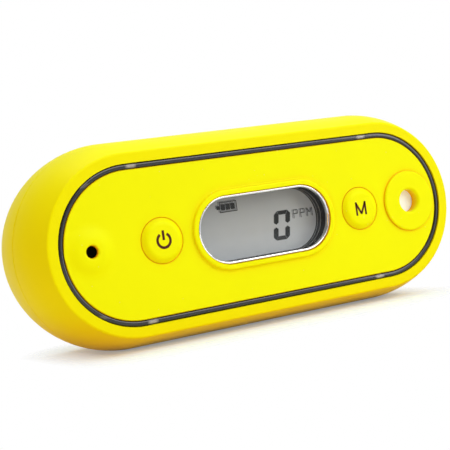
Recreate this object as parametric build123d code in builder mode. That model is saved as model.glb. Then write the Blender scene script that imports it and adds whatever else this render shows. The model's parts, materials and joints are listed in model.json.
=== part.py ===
from build123d import *
import os
from math import cos, pi, radians, sin, sqrt

# A pocket gas monitor for hydrogen sulfide, standing on one long side of its pill-shaped case.
# X runs along the case, Y from the face into the case, Z upwards. Millimetres.
# The origin is under the middle of the whole object, on the surface that it stands on.
# Depths are measured from the plane of the front panel, and grow towards the rear.

# Case outline: a straight middle and two round ends, its sides barrelled from front to rear
end_spacing = 70.4
widest_radius = 24.65
widest_depth = 14.4
front_curve_radius = 33.0
rear_curve_radius = 40.0
rim_width = 6.65
rim_proud = 0.3
rim_rounding = 0.6
rear_rounding = 4.0
parting_lead = 1.4
parting_rounding = 0.25
standing_flat = 0.15
shell_wall = 2.0

# Seal between the two shells
seal_width = 0.9
seal_height = 0.8
seal_clearance = 0.05

# Front panel, and the channel round it that holds the light ring
panel_thickness = 2.2
panel_rounding = 0.3
deck_thickness = 1.6
channel_width = 1.4
ring_gap = 0.05
ring_rounding = 0.3

# Alarm lights under the ring, on the straight runs next to the round ends
light_spacing = 65.6
light_leg_length = 3.0
light_leg_clearance = 0.2
light_leg_gap = 0.3
light_length = 3.0
light_width = 1.5
light_height = 1.0
light_edge = 0.2

# Display window
window_end_spacing = 20.9
window_radius = 8.3
lip_width = 1.8
lip_slope = 1.0
lip_proud = 0.7
bezel_width = 0.65
bezel_fit = 0.05
bezel_proud = 0.35
bezel_height = 1.0
bezel_rounding = 0.29
lens_depth = 0.1
lens_thickness = 1.2
lens_edge = 0.25
lens_fit = 0.05
lens_flange = 0.3
frame_step_depth = 2.9
frame_step = 0.15

# Display glass, in a frame between the deck and the circuit board
glass_depth = 5.0
glass_thickness = 2.0
glass_margin = 1.35
glass_fit = 0.15
frame_wall = 1.1
frame_corner = 1.0
elastomer_width = 2.0
elastomer_inset = 0.4

# Circuit board
board_depth = 9.4
board_thickness = 1.6
board_clearance = 1.2
chip_length = 7.0
chip_height = 1.0
chip_spacing = 10.0
chip_row = 15.0

# Buttons, each with a flange behind the panel
button_radius = 5.3
button_moat = 0.2
button_proud = 1.0
button_flank = 1.2
button_rounding = 1.5
button_travel = 0.5
flange_width = 0.9
flange_thickness = 0.8
flange_gap = 0.1
flange_clearance = 0.4
button_to_frame = 0.68
stem_radius = 1.5
switch_width = 6.0
switch_height = 3.4
plunger_radius = 1.7
plunger_height = 1.8
plunger_seat = 0.5
plunger_clearance = 0.2

# Sound port and gas port, near the two round ends
sound_port_inset = 13.85
sound_port_radius = 1.4
sound_port_rounding = 0.55
sound_swell_radius = 6.5
sound_swell_top = 2.2
sound_swell_height = 0.8
sound_plug_depth = 0.1
sound_plug_fit = 0.05
gas_port_inset = 15.95
gas_port_radius = 2.9
gas_port_rounding = 0.7
gas_boss_radius = 7.8
gas_boss_height = 0.6
gas_boss_rounding = 0.5
gas_boss_margin = 0.1

# Gas sensor cell behind its filter
filter_radius = 4.5
filter_thickness = 0.5
filter_fit = 0.1
filter_step = 0.1
filter_ledge = 1.3
gasket_thickness = 1.2
gasket_width = 4.0
cell_radius = 10.0
cell_height = 16.6
cell_rounding = 0.6
cell_pin_radius = 0.7
cell_pin_circle_radius = 6.75
cell_pin_count = 3
cell_pin_length = 1.8
cell_clearance = 0.6
socket_wall = 0.5
socket_height = 1.6
socket_fit = 0.1
sensor_board_gap = 2.0
sensor_board_margin = 0.5
sensor_board_tail = 17.0
sensor_board_height = 16.0
sensor_post_radius = 2.0
sensor_post_offset = 7.5
header_width = 2.5
header_length = 10.2
header_inset = 2.5

# Buzzer and vibration motor, on the two faces of the circuit board
buzzer_radius = 6.0
buzzer_height = 5.0
buzzer_pad_radius = 5.5
buzzer_pad_hole = 2.5
motor_radius = 5.0
motor_height = 2.7

# Lithium cell in its holder
battery_radius = 8.4
battery_length = 33.2
battery_nub_radius = 3.2
battery_nub_height = 1.0
battery_rounding = 0.8
battery_fit = 0.1
battery_room = 0.1
battery_offset = -3.0
holder_floor = 1.0
holder_wall = 1.3
contact_thickness = 0.3
contact_width = 8.0
contact_height = 7.0

# Screws
board_screw_spacing = 66.0
board_screw_rise = 11.0
board_screw_radius = 0.95
board_screw_head_radius = 1.9
board_screw_head_height = 1.3
board_screw_length = 6.0
board_post_radius = 2.2
case_screw_spacing = 38.0
case_screw_radius = 1.15
case_screw_head_radius = 2.1
case_screw_head_height = 1.8
case_screw_grip = 6.0
case_screw_bite = 7.0
case_boss_radius = 3.0
case_well_radius = 2.4
case_well_wall = 1.2
screw_fit = 0.05
screw_tip_room = 1.0
screw_hole_clearance = 0.25
slot_width = 0.6
slot_depth = 0.7
boss_gap = 0.6
boss_clearance = 0.3

# Spring clip on the rear
clip_width = 16.0
clip_height = 34.0
clip_sheet = 1.2
clip_corner = 2.5
clip_ear = 1.0
clip_ear_radius = 2.8
clip_ear_foot = 5.0
clip_pin_radius = 1.0
clip_pin_head = 0.7
clip_pin_fit = 0.04
clip_pivot_rise = 6.0
clip_pivot_reach = 5.5
clip_reach = 10.0
clip_screw_spacing = 27.0
clip_screw_radius = 1.15
clip_screw_head_radius = 2.0
clip_screw_head_height = 1.0
clip_screw_length = 6.0
clip_boss_radius = 2.6
lever_sheet = 1.0
lever_side_gap = 0.3
lever_ear_radius = 2.4
lever_ear_foot = 4.0
lever_jaw_rise = 4.2
lever_jaw_bend = 3.0
lever_rest_gap = 0.05
lever_bend_radius = 1.5
lever_access_radius = 2.6
spring_wire_radius = 0.4
spring_coil_radius = 1.6
spring_pitch_length = 1.4
spring_turns = 4
spring_base_angle = 24.0
spring_lever_angle = 9.0
spring_leg = 5.8

# Places worked out from the sizes above
deck_back = panel_thickness + deck_thickness
board_back = board_depth + board_thickness
battery_depth = board_back + holder_floor + battery_fit + battery_radius
rear_wall_depth = battery_depth + battery_radius + battery_room
body_depth = rear_wall_depth + shell_wall
parting_depth = widest_depth - parting_lead
case_end_x = end_spacing / 2 + widest_radius
channel_radius = widest_radius - rim_width
panel_radius = channel_radius - channel_width / 2
pocket_radius = channel_radius + channel_width / 2
sound_x = sound_port_inset - case_end_x
gas_x = case_end_x - gas_port_inset
frame_length = window_end_spacing + 2 * (window_radius + glass_margin + glass_fit + frame_wall)
frame_height = 2 * (window_radius + glass_margin + glass_fit + frame_wall)
flange_radius = button_radius + flange_width
flange_depth = panel_thickness + flange_gap
button_x = frame_length / 2 + flange_radius + button_to_frame
switch_top = board_depth - switch_height
plunger_front = switch_top - plunger_height
holder_length = battery_length + battery_nub_height + 2 * (contact_thickness + battery_fit + holder_wall)
holder_width = 2 * (battery_radius + battery_fit + holder_wall)
cell_front = deck_back + gasket_thickness
cell_back = cell_front + cell_height
sensor_board_depth = cell_back + sensor_board_gap
sensor_board_back = sensor_board_depth + board_thickness
sensor_board_end = gas_x - sensor_board_tail
case_screw_rise = frame_height / 2 + boss_gap + case_boss_radius
case_well_depth = parting_depth + case_screw_grip
front_reach = max(button_proud, lip_proud, sound_swell_height, gas_boss_height, rim_proud)
back_reach = body_depth + clip_reach
face_y = front_reach - (front_reach + back_reach) / 2
centre_z = widest_radius - standing_flat

board_screw_places = [(x * board_screw_spacing / 2, z * board_screw_rise) for x in (-1, 1) for z in (-1, 1)]
case_screw_places = [(x * case_screw_spacing / 2, z * case_screw_rise) for x in (-1, 1) for z in (-1, 1)]
light_places = [(x * light_spacing / 2, z * channel_radius) for x in (-1, 1) for z in (-1, 1)]
clip_screw_places = [(0, z * clip_screw_spacing / 2) for z in (-1, 1)]
sensor_post_places = [(gas_x, z * sensor_post_offset) for z in (-1, 1)]
button_places = [(-button_x, 0), (button_x, 0)]


def level(depth):
    """The plane parallel to the face at this depth. What is extruded from it grows towards the front."""
    return Plane(origin=(0, face_y + depth, centre_z), x_dir=(1, 0, 0), z_dir=(0, -1, 0))


def across(x):
    """The plane across the case at x, with its x axis upwards and its y axis along the depth."""
    return Plane(origin=(x, face_y, centre_z), x_dir=(0, 0, 1), z_dir=(-1, 0, 0))


def depth_axis(x, direction=1):
    """The line through the case from front to rear, at x and half its height."""
    return Axis((x, face_y, centre_z), (0, direction, 0))


def outer_radius(depth):
    """Half the height of the barrelled case at this depth."""
    curve = front_curve_radius if depth < widest_depth else rear_curve_radius
    return widest_radius - curve + sqrt(curve**2 - (depth - widest_depth) ** 2)


def turned(profile, x):
    """A half profile of radius and depth, turned all the way round the depth axis at x."""
    with BuildPart() as body:
        with BuildSketch(across(x)):
            add(profile)
        revolve(axis=depth_axis(x))
    return body.part


def pill(profile, spacing):
    """A half profile of radius and depth, run along two straight sides and turned round two ends."""
    with BuildPart() as body:
        with BuildSketch(across(spacing / 2)):
            add(profile)
            mirror(about=Plane.YZ)
        extrude(amount=spacing)
        for side in (-1, 1):
            with BuildSketch(across(side * spacing / 2)):
                add(profile)
            revolve(axis=depth_axis(side * spacing / 2, side), revolution_arc=180)
    return body.part


def barrel(front, back, inset=0.0, front_rounding=0.0, back_rounding=0.0):
    """The solid case between two depths, its barrelled outline drawn in by inset."""
    depths = [front, widest_depth, back] if front < widest_depth < back else [front, back]
    corners = [(outer_radius(depth) - inset, depth) for depth in depths]
    with BuildSketch() as profile:
        with BuildLine():
            for start, end in zip(corners, corners[1:]):
                middle = (start[1] + end[1]) / 2
                ThreePointArc(start, (outer_radius(middle) - inset, middle), end)
            Polyline(corners[-1], (0, back), (0, front), corners[0])
        make_face()
        for corner, rounding in ((corners[0], front_rounding), (corners[-1], back_rounding)):
            if rounding > 0:
                fillet(profile.vertices().sort_by_distance((*corner, 0))[0], rounding)
    return pill(profile.sketch, end_spacing)


def swell_profile(foot, top, inner, height):
    """The half profile of a swelling that rises from the panel in a soft S curve to a flat top."""
    middle = ((foot + top) / 2, -height / 2)
    with BuildSketch() as profile:
        with BuildLine():
            TangentArc((foot, 0), middle, tangent=(-1, 0))
            TangentArc((top, -height), middle, tangent=(1, 0))
            Polyline((top, -height), (inner, -height), (inner, panel_thickness))
            Polyline((inner, panel_thickness), (foot, panel_thickness), (foot, 0))
        make_face()
    return profile.sketch


def port_profile(radius, rounding, height):
    """The half profile of a hole through the panel and a swelling on it, with a rounded mouth."""
    with BuildSketch() as profile:
        with BuildLine():
            throat = (radius, rounding - height)
            mouth = (radius + rounding, -height)
            TangentArc(throat, mouth, tangent=(0, -1))
            Polyline(mouth, (0, -height), (0, panel_thickness), (radius, panel_thickness), throat)
        make_face()
    return profile.sketch


def plate_profile(inner, outer, front, back, rounding=0.0):
    """The half profile of a flat ring between two radii and two depths, with its front corners rounded."""
    with BuildSketch() as profile:
        with Locations(((inner + outer) / 2, (front + back) / 2)):
            Rectangle(outer - inner, back - front)
        if rounding > 0:
            corners = profile.vertices().group_by(Axis.Y)[0]
            fillet([corner for corner in corners if corner.X > 0], rounding)
    return profile.sketch


def slotted_screw(places, seat, head_radius, head_height, radius, length):
    """Screws seen from the rear: each head stands on its seat, and its shank points to the front."""
    with BuildPart() as screws:
        with BuildSketch(level(seat + head_height)):
            with Locations(places):
                Circle(head_radius)
        extrude(amount=head_height)
        with BuildSketch(level(seat)):
            with Locations(places):
                Circle(radius)
        extrude(amount=length)
        with BuildSketch(level(seat + head_height)):
            with Locations(places):
                Rectangle(2 * head_radius, slot_width)
                Rectangle(slot_width, 2 * head_radius)
        extrude(amount=slot_depth, mode=Mode.SUBTRACT)
    return screws.part


def standing_flats():
    """What is pared off the underside and the top, so that the case stands still on its long side."""
    with BuildPart() as flats:
        for side in (-1, 1):
            with BuildSketch(Plane.XY.offset(centre_z + side * widest_radius)):
                Rectangle(2 * (end_spacing + widest_radius), 4 * body_depth)
            extrude(amount=standing_flat, both=True)
    return flats.part


os.makedirs("parts", exist_ok=True)

# Front shell: the rim, the deck behind the panel and the ring, and the posts on its rear face
with BuildPart() as front_shell:
    add(barrel(-rim_proud, parting_depth, 0, rim_rounding, parting_rounding))
    add(barrel(deck_back, parting_depth, shell_wall), mode=Mode.SUBTRACT)
    add(standing_flats(), mode=Mode.SUBTRACT)
    with BuildSketch(level(panel_thickness)):
        SlotCenterToCenter(end_spacing, 2 * pocket_radius)
    extrude(amount=panel_thickness + rim_proud, mode=Mode.SUBTRACT)
    with BuildSketch(level(deck_back)):
        SlotCenterToCenter(window_end_spacing, 2 * window_radius)
        with Locations(button_places):
            Circle(flange_radius + flange_clearance)
        with Locations(light_places):
            Rectangle(light_leg_length + 2 * light_leg_clearance, channel_width + 2 * light_leg_clearance)
        with Locations((sound_x, 0)):
            Circle(sound_port_radius)
        with Locations((gas_x, 0)):
            Circle(filter_radius - filter_ledge)
    extrude(amount=deck_thickness, mode=Mode.SUBTRACT)
    with BuildSketch(level(panel_thickness + filter_step + filter_thickness)):
        with Locations((gas_x, 0)):
            Circle(filter_radius + filter_fit)
    extrude(amount=filter_step + filter_thickness, mode=Mode.SUBTRACT)
    with BuildSketch(level(parting_depth)):
        with Locations(case_screw_places):
            Circle(case_boss_radius)
            Circle(case_screw_radius + screw_fit, mode=Mode.SUBTRACT)
    extrude(amount=parting_depth - deck_back)
    with BuildSketch(level(board_depth)):
        with Locations(board_screw_places):
            Circle(board_post_radius)
            Circle(board_screw_radius + screw_fit, mode=Mode.SUBTRACT)
    extrude(amount=board_depth - deck_back)
    seal_radius = outer_radius(parting_depth) - shell_wall / 2
    with BuildSketch(level(parting_depth)):
        groove_half_width = seal_width / 2 + seal_clearance
        SlotCenterToCenter(end_spacing, 2 * (seal_radius + groove_half_width))
        SlotCenterToCenter(end_spacing, 2 * (seal_radius - groove_half_width), mode=Mode.SUBTRACT)
    extrude(amount=seal_height, mode=Mode.SUBTRACT)
front_shell.part.label = "front_shell"
export_step(front_shell.part, "parts/front_shell.step")

# Rear shell: the other half of the case, with screw wells, clip bosses and the sensor board's posts
with BuildPart() as rear_shell:
    add(barrel(parting_depth, body_depth, 0, parting_rounding, rear_rounding))
    hollow = barrel(parting_depth, rear_wall_depth, shell_wall, 0, rear_rounding - shell_wall)
    add(hollow, mode=Mode.SUBTRACT)
    add(standing_flats(), mode=Mode.SUBTRACT)
    with BuildSketch(level(rear_wall_depth)):
        with Locations(case_screw_places):
            Circle(case_well_radius + case_well_wall)
    extrude(amount=rear_wall_depth - parting_depth)
    with BuildSketch(level(rear_wall_depth)):
        with Locations(clip_screw_places):
            Circle(clip_boss_radius)
    extrude(amount=clip_screw_length - shell_wall + screw_tip_room)
    with BuildSketch(level(rear_wall_depth)):
        with Locations(sensor_post_places):
            Circle(sensor_post_radius)
    extrude(amount=rear_wall_depth - sensor_board_back)
    with BuildSketch(level(body_depth)):
        with Locations(case_screw_places):
            Circle(case_well_radius)
    extrude(amount=body_depth - case_well_depth, mode=Mode.SUBTRACT)
    with BuildSketch(level(case_well_depth)):
        with Locations(case_screw_places):
            Circle(case_screw_radius + screw_hole_clearance)
    extrude(amount=case_screw_grip, mode=Mode.SUBTRACT)
    with BuildSketch(level(body_depth)):
        with Locations(clip_screw_places):
            Circle(clip_screw_radius + screw_fit)
    extrude(amount=clip_screw_length, mode=Mode.SUBTRACT)
rear_shell.part.label = "rear_shell"
export_step(rear_shell.part, "parts/rear_shell.step")

# Rubber seal in the groove between the shells
with BuildPart() as case_seal:
    with BuildSketch(level(parting_depth)):
        SlotCenterToCenter(end_spacing, 2 * seal_radius + seal_width)
        SlotCenterToCenter(end_spacing, 2 * seal_radius - seal_width, mode=Mode.SUBTRACT)
    extrude(amount=seal_height)
case_seal.part.label = "case_seal"
export_step(case_seal.part, "parts/case_seal.step")

# Long screws that draw the two shells together
with BuildPart() as case_screws:
    add(
        slotted_screw(
            case_screw_places,
            case_well_depth,
            case_screw_head_radius,
            case_screw_head_height,
            case_screw_radius,
            case_screw_grip + case_screw_bite,
        )
    )
case_screws.part.label = "case_screws"
export_step(case_screws.part, "parts/case_screws.step")

# Front panel: a plate inside the ring, with the window's lip, the sound port and the gas port's boss
with BuildPart() as gas_boss:
    with BuildSketch(level(0)):
        with Locations((gas_x, 0)):
            Circle(gas_boss_radius)
        boss_limit = panel_radius - panel_rounding - gas_boss_margin
        SlotCenterToCenter(end_spacing, 2 * boss_limit, mode=Mode.INTERSECT)
    extrude(amount=gas_boss_height)
    fillet(gas_boss.faces().sort_by(Axis.Y)[0].edges(), gas_boss_rounding)

with BuildPart() as front_panel:
    add(pill(plate_profile(0, panel_radius, 0, panel_thickness, panel_rounding), end_spacing))
    lip_foot = window_radius + lip_width
    add(pill(swell_profile(lip_foot, lip_foot - lip_slope, window_radius, lip_proud), window_end_spacing))
    add(turned(swell_profile(sound_swell_radius, sound_swell_top, 0, sound_swell_height), sound_x))
    add(gas_boss.part)
    with BuildSketch(level(panel_thickness)):
        SlotCenterToCenter(window_end_spacing, 2 * window_radius)
        with Locations(button_places):
            Circle(button_radius + button_moat)
    extrude(amount=panel_thickness + front_reach, mode=Mode.SUBTRACT)
    sound_port = port_profile(sound_port_radius, sound_port_rounding, sound_swell_height)
    add(turned(sound_port, sound_x), mode=Mode.SUBTRACT)
    gas_port = port_profile(gas_port_radius, gas_port_rounding, gas_boss_height)
    add(turned(gas_port, gas_x), mode=Mode.SUBTRACT)
front_panel.part.label = "front_panel"
export_step(front_panel.part, "parts/front_panel.step")

# Light ring: a smoked light guide in the channel, with a leg through the deck over each alarm light
with BuildPart() as light_ring:
    ring_half_width = channel_width / 2 - ring_gap
    ring_profile = plate_profile(
        channel_radius - ring_half_width,
        channel_radius + ring_half_width,
        0,
        panel_thickness,
        ring_rounding,
    )
    add(pill(ring_profile, end_spacing))
    light_leg_end = board_depth - light_height - light_leg_gap
    with BuildSketch(level(light_leg_end)):
        with Locations(light_places):
            Rectangle(light_leg_length, 2 * ring_half_width)
    extrude(amount=light_leg_end - panel_thickness)
light_ring.part.label = "light_ring"
export_step(light_ring.part, "parts/light_ring.step")

# Alarm lights on the circuit board, one under each leg of the ring
with BuildPart() as alarm_lights:
    with BuildSketch(level(board_depth)):
        with Locations(light_places):
            Rectangle(light_length, light_width)
    extrude(amount=light_height)
    chamfer(alarm_lights.faces().group_by(Axis.Y)[0].edges(), light_edge)
alarm_lights.part.label = "alarm_lights"
export_step(alarm_lights.part, "parts/alarm_lights.step")

# Bright bead round the display window
bezel_outer = window_radius - bezel_fit
bezel_inner = bezel_outer - bezel_width
bezel_back = bezel_height - bezel_proud
with BuildPart() as display_bezel:
    bead = plate_profile(bezel_inner, bezel_outer, -bezel_proud, bezel_back, bezel_rounding)
    add(pill(bead, window_end_spacing))
display_bezel.part.label = "display_bezel"
export_step(display_bezel.part, "parts/display_bezel.step")

# Clear window: its front stands inside the bead, and its flange lies under it
lens_back = lens_depth + lens_thickness
flange_outer = bezel_inner + lens_flange
with BuildPart() as display_lens:
    with BuildSketch(level(bezel_back)):
        SlotCenterToCenter(window_end_spacing, 2 * (bezel_inner - lens_fit))
    extrude(amount=bezel_back - lens_depth)
    chamfer(display_lens.faces().sort_by(Axis.Y)[0].edges(), lens_edge)
    with BuildSketch(level(lens_back)):
        SlotCenterToCenter(window_end_spacing, 2 * flange_outer)
    extrude(amount=lens_back - bezel_back)
display_lens.part.label = "display_lens"
export_step(display_lens.part, "parts/display_lens.step")

# Black frame: a stepped collar that carries the window, and a tray behind the deck for the glass
glass_length = window_end_spacing + 2 * (window_radius + glass_margin)
glass_height = 2 * (window_radius + glass_margin)
with BuildPart() as display_frame:
    with BuildSketch(level(deck_back)):
        SlotCenterToCenter(window_end_spacing, 2 * bezel_outer)
    extrude(amount=deck_back - bezel_back)
    with BuildSketch(level(board_depth)):
        RectangleRounded(frame_length, frame_height, frame_corner)
    extrude(amount=board_depth - deck_back)
    with BuildSketch(level(board_depth)):
        Rectangle(glass_length + 2 * glass_fit, glass_height + 2 * glass_fit)
    extrude(amount=board_depth - glass_depth, mode=Mode.SUBTRACT)
    with BuildSketch(level(lens_back)):
        SlotCenterToCenter(window_end_spacing, 2 * (flange_outer + lens_fit))
    extrude(amount=lens_back - bezel_back, mode=Mode.SUBTRACT)
    with BuildSketch(level(frame_step_depth)):
        SlotCenterToCenter(window_end_spacing, 2 * (bezel_inner + frame_step))
    extrude(amount=frame_step_depth - lens_back, mode=Mode.SUBTRACT)
    with BuildSketch(level(glass_depth)):
        SlotCenterToCenter(window_end_spacing, 2 * bezel_inner)
    extrude(amount=glass_depth - frame_step_depth, mode=Mode.SUBTRACT)
display_frame.part.label = "display_frame"
export_step(display_frame.part, "parts/display_frame.step")

# Display glass, pressed forward in the frame by two conductive strips
with BuildPart() as display_glass:
    with BuildSketch(level(glass_depth + glass_thickness)):
        Rectangle(glass_length, glass_height)
    extrude(amount=glass_thickness)
display_glass.part.label = "display_glass"
export_step(display_glass.part, "parts/display_glass.step")

strip_rise = glass_height / 2 - elastomer_inset - elastomer_width / 2
with BuildPart() as contact_strips:
    with BuildSketch(level(board_depth)):
        with Locations((0, -strip_rise), (0, strip_rise)):
            Rectangle(glass_length - 2 * elastomer_inset, elastomer_width)
    extrude(amount=board_depth - glass_depth - glass_thickness)
contact_strips.part.label = "contact_strips"
export_step(contact_strips.part, "parts/contact_strips.step")

# Main circuit board, cut out round the sensor cell and drilled for the posts
board_radius = outer_radius(board_depth) - shell_wall - board_clearance
cell_cutout = cell_radius + cell_clearance
with BuildPart() as main_board:
    with BuildSketch(level(board_back)):
        SlotCenterToCenter(end_spacing, 2 * board_radius)
        with Locations((gas_x, 0)):
            Circle(cell_cutout, mode=Mode.SUBTRACT)
        with Locations((gas_x + cell_cutout, 0)):
            Rectangle(2 * cell_cutout, 2 * cell_cutout, mode=Mode.SUBTRACT)
        with Locations(board_screw_places):
            Circle(board_screw_radius + screw_fit, mode=Mode.SUBTRACT)
        with Locations(case_screw_places):
            Circle(case_boss_radius + boss_clearance, mode=Mode.SUBTRACT)
    extrude(amount=board_thickness)
main_board.part.label = "main_board"
export_step(main_board.part, "parts/main_board.step")

with BuildPart() as board_screws:
    add(
        slotted_screw(
            board_screw_places,
            board_back,
            board_screw_head_radius,
            board_screw_head_height,
            board_screw_radius,
            board_screw_length,
        )
    )
board_screws.part.label = "board_screws"
export_step(board_screws.part, "parts/board_screws.step")

# Chips on the rear face of the board
with BuildPart() as board_chips:
    with BuildSketch(level(board_back + chip_height)):
        for row in (-1, 1):
            with Locations((0, row * chip_row)):
                with GridLocations(chip_spacing, chip_length, 2, 1):
                    Rectangle(chip_length, chip_length / 2)
    extrude(amount=chip_height)
board_chips.part.label = "board_chips"
export_step(board_chips.part, "parts/board_chips.step")

# Buttons with sloping flanks, their switches and the plungers that they push
with BuildSketch() as button_profile:
    crown = (button_radius - button_flank, -button_proud)
    foot = (button_radius, 0)
    with BuildLine():
        Polyline((0, -button_proud), crown, foot, (button_radius, flange_depth))
        Polyline((button_radius, flange_depth), (0, flange_depth), (0, -button_proud))
    make_face()
    fillet(button_profile.vertices().sort_by_distance((*crown, 0))[0], button_rounding)

for name, x in (("power", -button_x), ("mode", button_x)):
    with BuildPart() as button:
        add(turned(button_profile.sketch, x))
        with BuildSketch(level(flange_depth + flange_thickness)):
            with Locations((x, 0)):
                Circle(flange_radius)
        extrude(amount=flange_thickness)
        with BuildSketch(level(plunger_front)):
            with Locations((x, 0)):
                Circle(stem_radius)
        extrude(amount=plunger_front - flange_depth - flange_thickness)
    button.part.label = f"{name}_button"
    export_step(button.part, f"parts/{name}_button.step")

    with BuildPart() as plunger:
        with BuildSketch(level(switch_top + plunger_seat)):
            with Locations((x, 0)):
                Circle(plunger_radius)
        extrude(amount=plunger_height + plunger_seat)
    plunger.part.label = f"{name}_plunger"
    export_step(plunger.part, f"parts/{name}_plunger.step")

with BuildPart() as button_switches:
    with BuildSketch(level(board_depth)):
        with Locations(button_places):
            Rectangle(switch_width, switch_width)
    extrude(amount=switch_height)
    plunger_well = plunger_seat + button_travel + plunger_clearance
    with BuildSketch(level(switch_top + plunger_well)):
        with Locations(button_places):
            Circle(plunger_radius + plunger_clearance)
    extrude(amount=plunger_well, mode=Mode.SUBTRACT)
button_switches.part.label = "button_switches"
export_step(button_switches.part, "parts/button_switches.step")

# White filter, gasket and electrochemical cell behind the gas port
filter_back = panel_thickness + filter_step + filter_thickness
with BuildPart() as gas_filter:
    with BuildSketch(level(filter_back)):
        with Locations((gas_x, 0)):
            Circle(filter_radius)
    extrude(amount=filter_thickness)
gas_filter.part.label = "gas_filter"
export_step(gas_filter.part, "parts/gas_filter.step")

gasket_radius = cell_radius - cell_rounding
with BuildPart() as sensor_gasket:
    with BuildSketch(level(cell_front)):
        with Locations((gas_x, 0)):
            Circle(gasket_radius)
            Circle(gasket_radius - gasket_width, mode=Mode.SUBTRACT)
    extrude(amount=gasket_thickness)
sensor_gasket.part.label = "sensor_gasket"
export_step(sensor_gasket.part, "parts/sensor_gasket.step")

with BuildPart() as sensor_cell:
    with BuildSketch(level(cell_back)):
        with Locations((gas_x, 0)):
            Circle(cell_radius)
    extrude(amount=cell_height)
    fillet(sensor_cell.faces().sort_by(Axis.Y)[0].edges(), cell_rounding)
    with BuildSketch(level(cell_back + cell_pin_length)):
        with Locations((gas_x, 0)):
            with PolarLocations(cell_pin_circle_radius, cell_pin_count):
                Circle(cell_pin_radius)
    extrude(amount=cell_pin_length)
sensor_cell.part.label = "sensor_cell"
export_step(sensor_cell.part, "parts/sensor_cell.step")

with BuildPart() as sensor_sockets:
    with BuildSketch(level(sensor_board_depth)):
        with Locations((gas_x, 0)):
            with PolarLocations(cell_pin_circle_radius, cell_pin_count):
                Circle(cell_pin_radius + socket_fit + socket_wall)
                Circle(cell_pin_radius + socket_fit, mode=Mode.SUBTRACT)
    extrude(amount=socket_height)
sensor_sockets.part.label = "sensor_sockets"
export_step(sensor_sockets.part, "parts/sensor_sockets.step")

with BuildPart() as sensor_board:
    with BuildSketch(level(sensor_board_back)):
        with Locations((gas_x, 0)):
            Circle(cell_radius + sensor_board_margin)
        with Locations(((sensor_board_end + gas_x) / 2, 0)):
            Rectangle(sensor_board_tail, sensor_board_height)
    extrude(amount=board_thickness)
sensor_board.part.label = "sensor_board"
export_step(sensor_board.part, "parts/sensor_board.step")

with BuildPart() as board_header:
    with BuildSketch(level(sensor_board_depth)):
        with Locations((sensor_board_end + header_inset, 0)):
            Rectangle(header_width, header_length)
    extrude(amount=sensor_board_depth - board_back)
board_header.part.label = "board_header"
export_step(board_header.part, "parts/board_header.step")

# Buzzer behind the sound port, sealed to the deck by a foam ring
with BuildPart() as buzzer:
    with BuildSketch(level(board_depth)):
        with Locations((sound_x, 0)):
            Circle(buzzer_radius)
    extrude(amount=buzzer_height)
    with BuildSketch(level(board_depth - buzzer_height / 2)):
        with Locations((sound_x, 0)):
            Circle(sound_port_radius)
    extrude(amount=buzzer_height / 2, mode=Mode.SUBTRACT)
buzzer.part.label = "buzzer"
export_step(buzzer.part, "parts/buzzer.step")

with BuildPart() as buzzer_pad:
    with BuildSketch(level(board_depth - buzzer_height)):
        with Locations((sound_x, 0)):
            Circle(buzzer_pad_radius)
            Circle(buzzer_pad_hole, mode=Mode.SUBTRACT)
    extrude(amount=board_depth - buzzer_height - deck_back)
buzzer_pad.part.label = "buzzer_pad"
export_step(buzzer_pad.part, "parts/buzzer_pad.step")

# Foam plug that keeps dust out of the sound port
with BuildPart() as sound_plug:
    with BuildSketch(level(deck_back)):
        with Locations((sound_x, 0)):
            Circle(sound_port_radius - sound_plug_fit)
    extrude(amount=deck_back - sound_plug_depth)
sound_plug.part.label = "sound_plug"
export_step(sound_plug.part, "parts/sound_plug.step")

with BuildPart() as vibration_motor:
    with BuildSketch(level(board_back + motor_height)):
        with Locations((sound_x, 0)):
            Circle(motor_radius)
    extrude(amount=motor_height)
vibration_motor.part.label = "vibration_motor"
export_step(vibration_motor.part, "parts/vibration_motor.step")

# Lithium cell, lying along the case in a holder on the rear face of the board
with BuildPart() as battery_holder:
    with BuildSketch(level(battery_depth)):
        with Locations((battery_offset, 0)):
            Rectangle(holder_length, holder_width)
    extrude(amount=battery_depth - board_back)
    groove_length = holder_length - 2 * holder_wall
    with BuildSketch(across(battery_offset + groove_length / 2)):
        with Locations((0, battery_depth)):
            Circle(battery_radius + battery_fit)
    extrude(amount=groove_length, mode=Mode.SUBTRACT)
battery_holder.part.label = "battery_holder"
export_step(battery_holder.part, "parts/battery_holder.step")

battery_end = battery_offset + (battery_length + battery_nub_height) / 2
with BuildPart() as battery:
    with BuildSketch(across(battery_end - battery_nub_height)):
        with Locations((0, battery_depth)):
            Circle(battery_radius)
    extrude(amount=battery_length)
    fillet(battery.edges().filter_by(GeomType.CIRCLE), battery_rounding)
    with BuildSketch(across(battery_end)):
        with Locations((0, battery_depth)):
            Circle(battery_nub_radius)
    extrude(amount=battery_nub_height)
battery.part.label = "battery"
export_step(battery.part, "parts/battery.step")

with BuildPart() as battery_contacts:
    for side in (-1, 1):
        inner_face = battery_offset + side * (battery_length + battery_nub_height) / 2
        outer_face = battery_offset + side * groove_length / 2
        with BuildSketch(across(max(inner_face, outer_face))):
            with Locations((0, battery_depth - contact_height / 2)):
                Rectangle(contact_width, contact_height)
        extrude(amount=abs(outer_face - inner_face))
battery_contacts.part.label = "battery_contacts"
export_step(battery_contacts.part, "parts/battery_contacts.step")

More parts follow.
